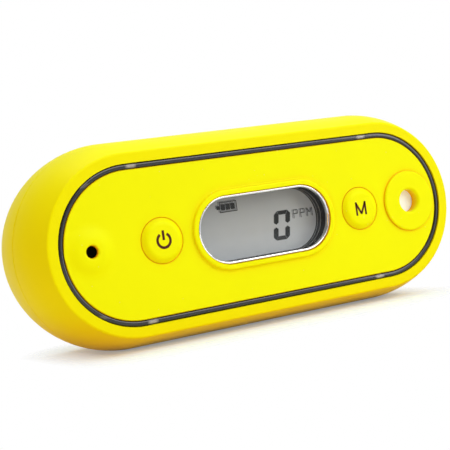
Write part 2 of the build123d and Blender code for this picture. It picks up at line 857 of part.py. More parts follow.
# Clip base: a steel plate screwed to the rear face, with two ears for the pivot
clip_back = body_depth + clip_sheet
pivot_depth = body_depth + clip_pivot_reach
ear_outer_x = clip_width / 2
with BuildPart() as clip_base:
    with BuildSketch(level(clip_back)):
        RectangleRounded(clip_width, clip_height, clip_corner)
        with Locations(clip_screw_places):
            Circle(clip_screw_radius + screw_hole_clearance, mode=Mode.SUBTRACT)
    extrude(amount=clip_sheet)
    for right_face in (ear_outer_x, clip_ear - ear_outer_x):
        with BuildSketch(across(right_face)):
            with Locations((clip_pivot_rise, pivot_depth)):
                Circle(clip_ear_radius)
            for rise in (-clip_ear_foot, clip_ear_foot):
                with Locations((clip_pivot_rise + rise, clip_back - clip_sheet / 2)):
                    Circle(clip_sheet / 2)
            make_hull()
            with Locations((clip_pivot_rise, pivot_depth)):
                Circle(clip_pin_radius + clip_pin_fit, mode=Mode.SUBTRACT)
        extrude(amount=clip_ear)
clip_base.part.label = "clip_base"
export_step(clip_base.part, "parts/clip_base.step")

with BuildPart() as clip_screws:
    add(
        slotted_screw(
            clip_screw_places,
            clip_back,
            clip_screw_head_radius,
            clip_screw_head_height,
            clip_screw_radius,
            clip_screw_length + clip_sheet - screw_tip_room,
        )
    )
clip_screws.part.label = "clip_screws"
export_step(clip_screws.part, "parts/clip_screws.step")

# Clip lever: a bent steel strip with a jaw at its foot and a thumb tab at its head, on two ears
lever_width = clip_width - 2 * (clip_ear + lever_side_gap)
jaw_depth = clip_back + lever_rest_gap + lever_sheet / 2
thumb_depth = body_depth + clip_reach - lever_sheet / 2
lever_bend_depth = clip_back + lever_jaw_rise + lever_sheet
lever_foot = -clip_height / 2 + lever_sheet
lever_head = clip_height / 2
with BuildPart() as clip_lever:
    with BuildSketch(across(lever_width / 2)):
        with BuildLine():
            FilletPolyline(
                (lever_foot, jaw_depth),
                (lever_foot + lever_jaw_bend, lever_bend_depth),
                (lever_head, thumb_depth),
                radius=lever_bend_radius,
            )
        trace(line_width=lever_sheet)
    extrude(amount=lever_width)
    with BuildSketch(level(thumb_depth + clip_reach)):
        with Locations(clip_screw_places):
            Circle(lever_access_radius)
    extrude(amount=2 * clip_reach, mode=Mode.SUBTRACT)
    slope = (thumb_depth - lever_bend_depth) / (lever_head - lever_foot - lever_jaw_bend)
    for right_face in (lever_width / 2, clip_ear - lever_width / 2):
        with BuildSketch(across(right_face)):
            with Locations((clip_pivot_rise, pivot_depth)):
                Circle(lever_ear_radius)
            for rise in (-lever_ear_foot, lever_ear_foot):
                run = clip_pivot_rise + rise - lever_foot - lever_jaw_bend
                with Locations((clip_pivot_rise + rise, lever_bend_depth + slope * run)):
                    Circle(lever_sheet / 2)
            make_hull()
            with Locations((clip_pivot_rise, pivot_depth)):
                Circle(clip_pin_radius + clip_pin_fit, mode=Mode.SUBTRACT)
        extrude(amount=clip_ear)
clip_lever.part.label = "clip_lever"
export_step(clip_lever.part, "parts/clip_lever.step")

# Pivot pin, with a head outside each ear of the base
with BuildPart() as clip_pin:
    with BuildSketch(across(ear_outer_x)):
        with Locations((clip_pivot_rise, pivot_depth)):
            Circle(clip_pin_radius)
    extrude(amount=clip_width)
    for right_face in (ear_outer_x + clip_pin_head, -ear_outer_x):
        with BuildSketch(across(right_face)):
            with Locations((clip_pivot_rise, pivot_depth)):
                Circle(clip_pin_radius + clip_pin_head)
        extrude(amount=clip_pin_head)
clip_pin.part.label = "clip_pin"
export_step(clip_pin.part, "parts/clip_pin.step")

# Torsion spring round the pin, with one leg against the base and one against the lever
spring_length = spring_pitch_length * (spring_turns + (180 - spring_base_angle - spring_lever_angle) / 360)
base_angle = radians(spring_base_angle)
end_angle = radians(180 - spring_base_angle - spring_lever_angle)
leg_rise = spring_leg * spring_pitch_length / (2 * pi * spring_coil_radius)
coil_start = Vector(spring_coil_radius, 0, 0)
coil_end = Vector(spring_coil_radius * cos(end_angle), spring_coil_radius * sin(end_angle), spring_length)
with BuildPart() as spring_wire:
    with BuildLine() as wire:
        Line(coil_start - Vector(0, spring_leg, leg_rise), coil_start)
        Helix(spring_pitch_length, spring_length, spring_coil_radius)
        leg_run = Vector(-spring_leg * sin(end_angle), spring_leg * cos(end_angle), leg_rise)
        Line(coil_end, coil_end + leg_run)
    path = wire.wires()[0]
    with BuildSketch(Plane(origin=path @ 0, z_dir=path % 0)):
        Circle(spring_wire_radius)
    sweep(path=path)

coil_plane = Plane(
    origin=(-spring_length / 2, face_y + pivot_depth, centre_z + clip_pivot_rise),
    x_dir=(0, -cos(base_angle), -sin(base_angle)),
    z_dir=(1, 0, 0),
)
with BuildPart() as clip_spring:
    with Locations(coil_plane.location):
        add(spring_wire.part)
clip_spring.part.label = "clip_spring"
export_step(clip_spring.part, "parts/clip_spring.step")
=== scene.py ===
import json
from math import cos, pi, radians, sin

import bpy
from mathutils import Matrix, Vector


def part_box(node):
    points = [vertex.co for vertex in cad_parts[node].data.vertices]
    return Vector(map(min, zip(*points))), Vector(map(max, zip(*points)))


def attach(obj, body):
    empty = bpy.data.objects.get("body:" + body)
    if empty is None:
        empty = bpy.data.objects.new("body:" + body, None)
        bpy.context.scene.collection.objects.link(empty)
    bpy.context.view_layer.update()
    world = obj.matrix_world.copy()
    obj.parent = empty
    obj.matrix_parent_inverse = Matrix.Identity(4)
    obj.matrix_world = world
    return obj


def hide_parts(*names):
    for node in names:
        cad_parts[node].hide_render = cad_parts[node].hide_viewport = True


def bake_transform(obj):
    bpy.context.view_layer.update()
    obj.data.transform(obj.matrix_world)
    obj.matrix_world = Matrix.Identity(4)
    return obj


MM = 0.001

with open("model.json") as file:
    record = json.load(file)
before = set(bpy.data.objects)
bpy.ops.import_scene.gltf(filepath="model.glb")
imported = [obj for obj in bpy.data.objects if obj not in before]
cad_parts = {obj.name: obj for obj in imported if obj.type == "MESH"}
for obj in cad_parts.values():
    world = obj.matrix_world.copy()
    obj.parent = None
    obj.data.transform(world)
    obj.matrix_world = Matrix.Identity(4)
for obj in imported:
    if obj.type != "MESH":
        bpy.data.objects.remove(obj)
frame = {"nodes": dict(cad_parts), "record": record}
nodes = frame["nodes"]
scene = bpy.context.scene


def half_sizes(box):
    """Half of a box's length and of its height."""
    return (box[1][0] - box[0][0]) / 2, (box[1][2] - box[0][2]) / 2


def middle_of(box):
    """The middle of a box seen from the front, as x and z."""
    return (box[0][0] + box[1][0]) / 2, (box[0][2] + box[1][2]) / 2


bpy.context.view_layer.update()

# Places taken from the frame. The rim stands a little in front of the face that it goes round
RIM_HEIGHT = 0.3 * MM
BEZEL_WIDTH = 0.65 * MM
RING_HALF_WIDTH = 0.65 * MM

panel_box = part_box("front_panel")
ring_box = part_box("light_ring")
bezel_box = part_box("display_bezel")
glass_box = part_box("display_glass")
front_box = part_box("front_shell")
rear_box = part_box("rear_shell")
power_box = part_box("power_button")
mode_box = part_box("mode_button")

face_y = front_box[0][1] + RIM_HEIGHT
centre_z = middle_of(panel_box)[1]
panel_half_length, panel_half_height = half_sizes(panel_box)
bezel_half_length, bezel_half_height = half_sizes(bezel_box)
ring_half_straight = panel_half_length - panel_half_height
ring_radius = half_sizes(ring_box)[1] - RING_HALF_WIDTH
window_half_straight = bezel_half_length - bezel_half_height
window_wall_radius = bezel_half_height - BEZEL_WIDTH


# Materials


class NodeTree:
    """A node tree built a node at a time. A value is an output to link, or a number or a colour."""

    def __init__(self, tree):
        self.tree = tree

    def link(self, source, target):
        self.tree.links.new(source, target)

    def fill(self, socket, value):
        """A socket's link where value is an output, and its constant where it is a number or a colour."""
        if isinstance(value, bpy.types.NodeSocket):
            self.link(value, socket)
        elif isinstance(value, (tuple, list)):
            socket.default_value = (*value[:3], 1.0)
        else:
            socket.default_value = value

    def calc(self, operation, first, second=None):
        """The result of a sum with outputs or numbers."""
        node = self.tree.nodes.new("ShaderNodeMath")
        node.operation = operation
        self.fill(node.inputs[0], first)
        if second is not None:
            self.fill(node.inputs[1], second)
        return node.outputs["Value"]

    def distance(self, value, place):
        """How far a value is from a place, never below nought."""
        return self.calc("ABSOLUTE", self.calc("SUBTRACT", value, place))

    def ramp(self, source, low, high, start=0.0, end=1.0):
        """source carried from start..end to low..high, clamped."""
        node = self.tree.nodes.new("ShaderNodeMapRange")
        node.inputs["From Min"].default_value = start
        node.inputs["From Max"].default_value = end
        self.fill(node.inputs["To Min"], low)
        self.fill(node.inputs["To Max"], high)
        self.link(source, node.inputs["Value"])
        return node.outputs["Result"]

    def rays(self):
        """1 for a ray straight from the camera, and 1 for a ray that came off gloss or through glass."""
        path = self.tree.nodes.new("ShaderNodeLightPath").outputs
        return path["Is Camera Ray"], self.calc("MAXIMUM", path["Is Glossy Ray"], path["Is Transmission Ray"])


class Shader(NodeTree):
    """One material's node tree."""

    def __init__(self, name):
        self.material = bpy.data.materials.new(name)
        self.material.use_nodes = True
        super().__init__(self.material.node_tree)
        self.bsdf = self.tree.nodes["Principled BSDF"]
        self.object_point = self.tree.nodes.new("ShaderNodeTexCoord").outputs["Object"]

    def coordinates(self):
        """The object's own x, y and z."""
        node = self.tree.nodes.new("ShaderNodeSeparateXYZ")
        self.link(self.object_point, node.inputs["Vector"])
        return node.outputs["X"], node.outputs["Y"], node.outputs["Z"]

    def noise(self, scale, detail=3.0, roughness=0.55, stretch=None):
        """Noise with features of about 1 / scale metres, drawn out along an axis by stretch."""
        node = self.tree.nodes.new("ShaderNodeTexNoise")
        node.inputs["Scale"].default_value = scale
        node.inputs["Detail"].default_value = detail
        node.inputs["Roughness"].default_value = roughness
        point = self.object_point
        if stretch:
            mapping = self.tree.nodes.new("ShaderNodeMapping")
            mapping.inputs["Scale"].default_value = stretch
            self.link(point, mapping.inputs["Vector"])
            point = mapping.outputs["Vector"]
        self.link(point, node.inputs["Vector"])
        return node.outputs["Fac"]

    def mix(self, factor, first, second):
        """A colour between first and second."""
        node = self.tree.nodes.new("ShaderNodeMix")
        node.data_type = "RGBA"
        self.fill(node.inputs["Factor"], factor)
        self.fill(node.inputs[6], first)
        self.fill(node.inputs[7], second)
        return node.outputs[2]

    def bump(self, height, strength, distance, under=None):
        """A surface normal roughened by height, on top of the one under it."""
        node = self.tree.nodes.new("ShaderNodeBump")
        node.inputs["Strength"].default_value = strength
        node.inputs["Distance"].default_value = distance
        self.link(height, node.inputs["Height"])
        if under is not None:
            self.link(under, node.inputs["Normal"])
        return node.outputs["Normal"]

    def openness(self, reach):
        """1 where nothing stands near the surface, and less towards a corner within reach."""
        node = self.tree.nodes.new("ShaderNodeAmbientOcclusion")
        node.samples = 8
        node.inputs["Distance"].default_value = reach
        return node.outputs["AO"]

    def set(self, **values):
        """Sockets of the surface shader by name, with _ for a space."""
        for name, value in values.items():
            self.fill(self.bsdf.inputs[name.replace("_", " ")], value)


DUST_COLOUR = (0.95, 0.90, 0.35)


def moulded(
    name, colour, roughness=0.42, grain=2600.0, depth=0.02, specks=0.0, gloss=0.5, painted_shade=None, glow=None
):
    """Injection-moulded plastic: a fine spark-eroded grain, slow waves of gloss and a few specks of dust.

    Its painted shade is a deeper colour painted into its hollows, where shade falls near walls: that colour,
    how near a wall must stand to make one, and the openness where that colour is full and where it ends. Its
    glow is the colour and strength of a painted glow, light that the plastic gives off though it is no lamp."""
    shader = Shader(name)
    fine = shader.noise(grain, detail=2.0)
    slow = shader.noise(55.0, detail=4.0)
    waves = shader.noise(160.0, detail=1.0)
    tint = shader.mix(shader.ramp(slow, 0.0, 1.0, 0.3, 0.7), [c * 0.975 for c in colour], colour)
    # Painted shade: the colour turns deeper where walls stand near, found by ambient occlusion
    if painted_shade:
        shade_colour, reach, closed, open_wide = painted_shade
        tint = shader.mix(shader.ramp(shader.openness(reach), 0.0, 1.0, closed, open_wide), shade_colour, tint)
    if specks:
        dust = shader.ramp(shader.noise(1500.0, detail=0.0), 0.0, specks, 0.825, 0.86)
        tint = shader.mix(dust, tint, DUST_COLOUR)
    rough = shader.ramp(slow, roughness - 0.05, roughness + 0.06, 0.3, 0.7)
    normal = shader.bump(waves, 0.05, 0.3 * MM)
    normal = shader.bump(fine, 1.0, depth * MM, normal)
    shader.set(Base_Color=tint, Roughness=rough, Normal=normal, IOR=1.48, Specular_IOR_Level=gloss)
    # Painted glow: light given off by the plastic, though it is no lamp
    if glow:
        shader.set(Emission_Color=glow[0], Emission_Strength=glow[1])
    return shader.material


def metal(name, colour, roughness, stretch=None, scratches=0.12):
    """Worked metal: grain along one axis, a few wider marks and duller patches."""
    shader = Shader(name)
    fine = shader.noise(900.0, detail=4.0, stretch=stretch)
    patches = shader.noise(140.0, detail=5.0)
    rough = shader.ramp(fine, roughness - scratches / 2, roughness + scratches, 0.3, 0.7)
    dull = shader.mix(shader.ramp(patches, 0.0, 0.5, 0.5, 0.75), colour, [c * 0.8 for c in colour])
    shader.set(Base_Color=dull, Metallic=1.0, Roughness=rough)
    shader.set(Normal=shader.bump(fine, 0.25, 0.03 * MM))
    return shader.material


# The light guide's lights stand under its straight runs, and two clear marks at its left end
LIGHT_PLACE = 32.5 * MM
LIGHT_SHIFT = -0.9 * MM
LIGHT_REACH = 1.4 * MM
CLEAR_MARK_PLACE = 14.9 * MM
CLEAR_MARK_CORE = 0.3 * MM
CLEAR_MARK_EDGE = 0.6 * MM
CLEAR_MARK_STRENGTH = 0.2
RING_CROWN = 0.16 * MM
# Painted shade for the ring's edges and a painted highlight for its middle; the streaks are random
SMOKE_EDGE_PAINTED_SHADE = (0.003, 0.003, 0.003)
SMOKE_MIDDLE_PAINTED_HIGHLIGHT = (0.015, 0.015, 0.015)
SMOKE_STREAK = (0.02, 0.02, 0.02)
MILKY = (0.42, 0.42, 0.41)


def smoked_ring():
    """Smoked light guide with painted shade at its two edges, a painted highlight along its greyer middle,
    random streaks, and milky over the lights.
    """
    shader = Shader("ring_plastic")
    x, _, height = shader.coordinates()
    z = shader.calc("SUBTRACT", height, centre_z)
    beyond = shader.calc("SUBTRACT", shader.calc("ABSOLUTE", x), ring_half_straight)
    past = shader.calc("MAXIMUM", beyond, 0.0)
    square = shader.calc("ADD", shader.calc("MULTIPLY", past, past), shader.calc("MULTIPLY", z, z))
    off = shader.distance(shader.calc("SQRT", square), ring_radius)

    # Painted shade and highlight: near black at both edges, greyer along the middle
    painted_highlight_mask = shader.ramp(off, 1.0, 0.0, RING_HALF_WIDTH * 0.3, RING_HALF_WIDTH * 0.95)
    streaks = shader.noise(1400.0, detail=3.0)
    smoke = shader.mix(painted_highlight_mask, SMOKE_EDGE_PAINTED_SHADE, SMOKE_MIDDLE_PAINTED_HIGHLIGHT)
    smoke = shader.mix(shader.ramp(streaks, 0.0, 0.3, 0.4, 0.7), smoke, SMOKE_STREAK)

    from_light = shader.distance(shader.distance(x, LIGHT_SHIFT), LIGHT_PLACE)
    over_light = shader.ramp(from_light, 1.0, 0.0, LIGHT_REACH * 0.45, LIGHT_REACH * 1.1)
    from_mark = shader.distance(shader.calc("ABSOLUTE", z), CLEAR_MARK_PLACE)
    near_mark = shader.ramp(from_mark, CLEAR_MARK_STRENGTH, 0.0, CLEAR_MARK_CORE, CLEAR_MARK_EDGE)
    on_left = shader.ramp(x, 1.0, 0.0, -ring_half_straight * 1.1, -ring_half_straight)
    milky = shader.calc("MAXIMUM", over_light, shader.calc("MULTIPLY", near_mark, on_left))
    inside = shader.ramp(off, 1.0, 0.1, RING_HALF_WIDTH * 0.1, RING_HALF_WIDTH * 0.75)
    milky = shader.calc("MULTIPLY", milky, inside)

    shader.set(Base_Color=shader.mix(milky, smoke, MILKY))
    shader.set(Roughness=shader.ramp(streaks, 0.08, 0.18, 0.3, 0.7), IOR=1.52)
    crown = shader.ramp(shader.calc("MULTIPLY", off, off), 1.0, 0.0, 0.0, RING_HALF_WIDTH ** 2)
    shader.set(Normal=shader.bump(streaks, 0.25, 0.01 * MM, shader.bump(crown, 1.0, RING_CROWN)))
    return shader.material


GLASS_STRAIGHT_ON = 0.02
GLASS_AT_A_SLANT = 1.0
GLASS_SLANT_POWER = 5.0
GLASS_ROUGHNESS = 0.03


def smooth_glass(name, colour):
    """Clear moulded window, open to every ray. Its gloss grows at a slant, alike from both sides."""
    shader = Shader(name)
    tree = shader.tree
    smear = shader.noise(130.0, detail=5.0)
    clear = tree.nodes.new("ShaderNodeBsdfTransparent")
    shader.fill(clear.inputs["Color"], colour)
    gloss = tree.nodes.new("ShaderNodeBsdfGlossy")
    rough = shader.ramp(smear, GLASS_ROUGHNESS, GLASS_ROUGHNESS + 0.05, 0.45, 0.8)
    shader.fill(gloss.inputs["Roughness"], rough)
    facing = tree.nodes.new("ShaderNodeLayerWeight").outputs["Facing"]
    slant = shader.calc("POWER", facing, GLASS_SLANT_POWER)
    reflected = shader.ramp(slant, GLASS_STRAIGHT_ON, GLASS_AT_A_SLANT)
    blend = tree.nodes.new("ShaderNodeMixShader")
    shader.link(reflected, blend.inputs["Fac"])
    shader.link(clear.outputs["BSDF"], blend.inputs[1])
    shader.link(gloss.outputs["BSDF"], blend.inputs[2])
    shader.link(blend.outputs["Shader"], tree.nodes["Material Output"].inputs["Surface"])
    return shader.material


# The display's grey, lighter at the bottom and with painted shade at the top; the darker grey also serves the
# random mottle. Then the strength of its painted glow
DISPLAY_LIT_BOTTOM = (0.40, 0.41, 0.44)
DISPLAY_SHADED_AND_MOTTLE = (0.215, 0.222, 0.238)
DISPLAY_PAINTED_GLOW = 0.35


def display_face():
    """The liquid crystal's grey, with painted shade that darkens it towards the top, a random mottle, and a
    painted glow, light of its own though it is no lamp.
    """
    shader = Shader("display_face")
    # Painted shade: the grey darkens from the bottom of the glass towards its top
    height = shader.ramp(shader.coordinates()[2], 0.0, 1.0, glass_box[0][2], glass_box[1][2])
    tone = shader.mix(height, DISPLAY_LIT_BOTTOM, DISPLAY_SHADED_AND_MOTTLE)
    mottle = shader.noise(420.0, detail=4.0)
    tone = shader.mix(shader.ramp(mottle, 0.0, 0.12, 0.3, 0.7), tone, DISPLAY_SHADED_AND_MOTTLE)
    shader.set(Base_Color=tone, Roughness=shader.ramp(mottle, 0.3, 0.42, 0.3, 0.7))
    # Painted glow: the face gives off light in its own grey, though it is no lamp
    shader.set(Emission_Color=tone, Emission_Strength=DISPLAY_PAINTED_GLOW)
    shader.set(Normal=shader.bump(shader.noise(2500.0), 0.3, 0.01 * MM))
    return shader.material


def printed_ink(name, colour, roughness):
    """Opaque ink with a fine speckle."""
    shader = Shader(name)
    speckle = shader.noise(3500.0, detail=2.0)
    tone = shader.mix(shader.ramp(speckle, 0.0, 1.0, 0.35, 0.65), colour, [c * 1.6 for c in colour])
    shader.set(Base_Color=tone, Roughness=roughness, Normal=shader.bump(speckle, 0.4, 0.01 * MM))
    shader.set(Specular_IOR_Level=0.1)
    return shader.material


PAINTED_SHADOW_AND_FAINT_INK_COLOUR = (0.02, 0.02, 0.02)


def painted_shadow_and_faint_ink(name, alpha):
    """A see-through dark sheet, used for the painted shadow that a liquid crystal's mark throws on the layer
    behind it, and for faint print.
    """
    shader = Shader(name)
    shader.set(Base_Color=PAINTED_SHADOW_AND_FAINT_INK_COLOUR, Roughness=0.5, Alpha=alpha)
    return shader.material


YELLOW = (0.90, 0.90, 0.0005)
PANEL_YELLOW = (0.90, 0.98, 0.0005)
# Painted shade for the hollows of the shell, and of the panel and buttons: its colour, its reach, and the
# openness where it is full and where it ends
SHELL_PAINTED_SHADE = ((0.92, 0.72, 0.0005), 16 * MM, 0.15, 0.8)
PANEL_PAINTED_SHADE = ((0.88, 0.42, 0.0005), 3 * MM, 0.5, 0.97)
# A painted glow for the filter cloth at the bottom of its port, light that it gives off though it is no lamp
FILTER_PAINTED_GLOW = ((0.85, 0.95, 1.0), 0.2)

shell_plastic = moulded("shell_plastic", YELLOW, roughness=0.40, gloss=0.05, painted_shade=SHELL_PAINTED_SHADE)
panel_plastic = moulded(
    "panel_plastic", PANEL_YELLOW, roughness=0.44, specks=0.5, gloss=0.06, painted_shade=PANEL_PAINTED_SHADE
)
button_plastic = moulded(
    "button_plastic", PANEL_YELLOW, roughness=0.46, specks=0.4, gloss=0.06, painted_shade=PANEL_PAINTED_SHADE
)
black_plastic = moulded("black_plastic", (0.012, 0.012, 0.013), roughness=0.5)
black_rubber = moulded("black_rubber", (0.02, 0.02, 0.02), roughness=0.7, grain=1500.0, depth=0.04)
ring_plastic = smoked_ring()
filter_cloth = moulded(
    "filter_cloth", (0.90, 0.95, 1.0), roughness=0.8, grain=4000.0, depth=0.05, glow=FILTER_PAINTED_GLOW
)
black_foam = moulded("black_foam", (0.002, 0.002, 0.002), roughness=0.9, grain=2000.0, depth=0.08, gloss=0.0)
frame_black = moulded("frame_black", (0.002, 0.002, 0.002), roughness=0.5, gloss=0.1)
# Painted highlight: a grey for the thin lines round the window's wall
painted_edge_highlight = moulded("painted_edge_highlight", (0.45, 0.45, 0.45), roughness=0.3)
board_green = moulded("board_green", (0.01, 0.13, 0.04), roughness=0.3, grain=1400.0)
chip_black = moulded("chip_black", (0.02, 0.02, 0.022), roughness=0.45, grain=3000.0)
cell_plastic = moulded("cell_plastic", (0.75, 0.74, 0.68), roughness=0.35)
wrap_film = moulded("wrap_film", (0.03, 0.05, 0.16), roughness=0.25, grain=700.0, depth=0.01)
lamp_plastic = moulded("lamp_plastic", (0.85, 0.84, 0.74), roughness=0.3)
bright_chrome = metal("bright_chrome", (0.72, 0.71, 0.70), 0.09, scratches=0.05)
clip_steel = metal("clip_steel", (0.56, 0.57, 0.57), 0.26, stretch=(14.0, 1.0, 0.6))
screw_steel = metal("screw_steel", (0.48, 0.48, 0.47), 0.3, stretch=(1.0, 3.0, 1.0))
gold_plate = metal("gold_plate", (0.85, 0.62, 0.25), 0.2)
window_glass = smooth_glass("window_glass", (0.97, 0.98, 0.97))
display_ink = printed_ink("display_ink", (0.004, 0.004, 0.004), 0.35)
symbol_ink = printed_ink("symbol_ink", (0.055, 0.012, 0.010), 0.5)
# Painted shadow of the display's marks; faint_ink is the unit's faint print
display_painted_shadow = painted_shadow_and_faint_ink("display_painted_shadow", 0.4)
faint_ink = painted_shadow_and_faint_ink("faint_ink", 0.62)

slot_finishes = {
    "shell": shell_plastic,
    "panel": panel_plastic,
    "button": button_plastic,
    "light_guide": ring_plastic,
    "light": lamp_plastic,
    "bezel": bright_chrome,
    "lens": window_glass,
    "display": display_face(),
    "black_plastic": black_plastic,
    "strip": black_rubber,
    "board": board_green,
    "chip": chip_black,
    "screw": screw_steel,
    "seal": black_rubber,
    "plunger": black_plastic,
    "switch": screw_steel,
    "filter": filter_cloth,
    "cell": cell_plastic,
    "socket": gold_plate,
    "foam": black_foam,
    "motor": screw_steel,
    "battery_wrap": wrap_film,
    "contact": clip_steel,
    "clip_steel": clip_steel,
    "pin_steel": screw_steel,
    "spring_steel": screw_steel,
}
node_finishes = {"display_frame": frame_black}

for part in frame["record"]["subparts"]:
    mesh = nodes[part["node"]].data
    finish = node_finishes.get(part["node"], slot_finishes[part["material_slot"]])
    if not mesh.materials:
        mesh.materials.append(finish)
    for index in range(len(mesh.materials)):
        mesh.materials[index] = finish


# The clip's spring, with its left leg on the base and its right leg on the lever: a copy of its part's mesh
# in the same place, with the part hidden


def twisting_spring():
    node = nodes["clip_spring"]
    spring = bpy.data.objects.new("torsion_spring", node.data.copy())
    spring.matrix_world = node.matrix_world
    scene.collection.objects.link(spring)
    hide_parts("clip_spring")
    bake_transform(spring)


twisting_spring()


# Thin pieces: flat marks and narrow bands. Outlines are (x, z) in millimetres round a middle


def thin_piece(name, points, faces, material, body):
    """A piece without thickness from its points in metres and its faces, riding on a body."""
    mesh = bpy.data.meshes.new(name)
    mesh.from_pydata(points, [], faces)
    mesh.materials.append(material)
    piece = bpy.data.objects.new(name, mesh)
    scene.collection.objects.link(piece)
    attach(piece, body)


def marks(name, outlines, middle, y, material, body):
    """Flat marks in one piece, at depth y round a middle (x, z)."""
    points = []
    faces = []
    for outline in outlines:
        faces.append(tuple(range(len(points), len(points) + len(outline))))
        points += [(middle[0] + x * MM, y, middle[1] + z * MM) for x, z in outline]
    thin_piece(name, points, faces, material, body)


def band(name, first, second, material):
    """A closed band between two loops of points, on the case."""
    count = len(first)
    faces = [(step, (step + 1) % count, count + (step + 1) % count, count + step) for step in range(count)]
    thin_piece(name, first + second, faces, material, "case")


def bar(left, bottom, right, top):
    return [(left, bottom), (right, bottom), (right, top), (left, top)]


def stroke(start, end, pen):
    """A straight pen stroke with square ends."""
    (x0, z0), (x1, z1) = start, end
    length = ((x1 - x0) ** 2 + (z1 - z0) ** 2) ** 0.5
    across, up = -(z1 - z0) / length * pen / 2, (x1 - x0) / length * pen / 2
    return [(x0 + across, z0 + up), (x1 + across, z1 + up), (x1 - across, z1 - up), (x0 - across, z0 - up)]


def arc_strokes(radius, pen, start, end, steps=40):
    """A ring's arc as short faces, angles in degrees from straight up."""
    outer, inner = radius + pen / 2, radius - pen / 2
    faces = []
    for step in range(steps):
        first, second = [radians(start + (end - start) * (step + offset) / steps) for offset in (0, 1)]
        faces.append([
            (sin(first) * outer, cos(first) * outer),
            (sin(second) * outer, cos(second) * outer),
            (sin(second) * inner, cos(second) * inner),
            (sin(first) * inner, cos(first) * inner),
        ])
    return faces


P_WAIST = 0.46
M_DIP = 0.45


def letter_p(left, bottom, width, height, pen):
    right, top, waist = left + width, bottom + height, bottom + height * P_WAIST
    half = pen / 2
    return [
        stroke((left + half, bottom), (left + half, top), pen),
        stroke((left + pen, top - half), (right - half, top - half), pen),
        stroke((right - half, top - half), (right - half, waist + half), pen),
        stroke((left + pen, waist + half), (right - half, waist + half), pen),
    ]


def letter_m(left, bottom, width, height, pen, dip=M_DIP):
    right, top, half = left + width, bottom + height, pen / 2
    valley = (left + width / 2, bottom + height * dip)
    return [
        stroke((left + half, bottom), (left + half, top), pen),
        stroke((right - half, bottom), (right - half, top), pen),
        stroke((left + half, top - half), valley, pen),
        stroke(valley, (right - half, top - half), pen),
    ]


# The display's marks: a seven-segment nought, a battery to its upper left and the unit to its right

DIGIT_PLACE = (7.67, -1.2)
DIGIT_WIDTH = 4.75
DIGIT_HEIGHT = 7.2
DIGIT_STROKE = 1.35
DIGIT_BAR = 0.95
DIGIT_GAP = 0.06
DIGIT_WAIST = 0.34
DIGIT_LEAN = 0.17
DIGIT_CORNER = 0.8


def digit_nought():
    """The six bars of the digit's outline, mitred at its corners and open at its waist."""
    side, top = DIGIT_WIDTH / 2, DIGIT_HEIGHT / 2
    mitre = side - DIGIT_CORNER
    inside = side - DIGIT_STROKE
    under = top - DIGIT_BAR
    shoulder = DIGIT_WAIST + DIGIT_STROKE / 3
    level = [
        (DIGIT_GAP - mitre, top),
        (mitre - DIGIT_GAP, top),
        (inside - DIGIT_GAP, under),
        (DIGIT_GAP - inside, under),
    ]
    upright = [
        (mitre, top - DIGIT_GAP),
        (side, top - DIGIT_CORNER),
        (side, shoulder),
        (side - DIGIT_STROKE / 2, DIGIT_WAIST),
        (inside, shoulder),
        (inside, under - DIGIT_GAP),
    ]
    bars = []
    for rise in (1, -1):
        bars.append([(x, z * rise) for x, z in level])
        for hand in (1, -1):
            bars.append([(x * hand, z * rise) for x, z in upright])
    middle_x, middle_z = DIGIT_PLACE
    return [[(middle_x + x + z * DIGIT_LEAN, middle_z + z) for x, z in outline] for outline in bars]


BATTERY_LEFT = -9.35
BATTERY_BOTTOM = 4.1
BATTERY_LENGTH = 4.95
BATTERY_HEIGHT = 2.6
BATTERY_LINE = 0.22
BATTERY_NUB = 0.8
BATTERY_BARS = 3
BATTERY_BAR_INSET = 0.42
BATTERY_BAR_MARGIN = 0.55
BATTERY_BAR_PITCH = 1.36
BATTERY_BAR_LENGTH = 1.2


def battery_mark():
    """An outline, its bars and a nub at its left end."""
    left, bottom, line = BATTERY_LEFT, BATTERY_BOTTOM, BATTERY_LINE
    right, top, third = left + BATTERY_LENGTH, bottom + BATTERY_HEIGHT, BATTERY_HEIGHT / 3
    bars = [
        bar(left, bottom, right, bottom + line),
        bar(left, top - line, right, top),
        bar(left, bottom + line, left + line, top - line),
        bar(right - line, bottom + line, right, top - line),
        bar(left - BATTERY_NUB, bottom + third, left, top - third),
    ]
    for step in range(BATTERY_BARS):
        start = left + BATTERY_BAR_INSET + step * BATTERY_BAR_PITCH
        end = start + BATTERY_BAR_LENGTH
        bars.append(bar(start, bottom + BATTERY_BAR_MARGIN, end, top - BATTERY_BAR_MARGIN))
    return bars


UNIT_HEIGHT = 2.2
UNIT_PEN = 0.26
P_PLACES = (11.4, 13.5)
P_WIDTH = 1.45
M_PLACE = 15.5
M_WIDTH = 1.7


def unit_letters():
    """The unit, parts per million, on the level of the display's middle."""
    letters = []
    for place in P_PLACES:
        letters += letter_p(place, 0.0, P_WIDTH, UNIT_HEIGHT, UNIT_PEN)
    return letters + letter_m(M_PLACE, 0.0, M_WIDTH, UNIT_HEIGHT, UNIT_PEN)


def shifted(outlines, across, up):
    return [[(x + across, z + up) for x, z in outline] for outline in outlines]


# How far the painted shadows and the marks stand in front of the display glass
PAINTED_SHADOW_LIFT = 0.02 * MM
MARK_LIFT = 0.04 * MM

# Each set's name, its outlines, how far its painted shadow is shifted and its ink
display_sets = [
    ("digit", digit_nought(), (-0.12, 0.1), display_ink),
    ("battery", battery_mark(), (-0.35, 0.25), display_ink),
    ("unit", unit_letters(), (-0.36, 0.05), faint_ink),
]
display_middle = middle_of(glass_box)
painted_shadow_y = glass_box[0][1] - PAINTED_SHADOW_LIFT
mark_y = glass_box[0][1] - MARK_LIFT
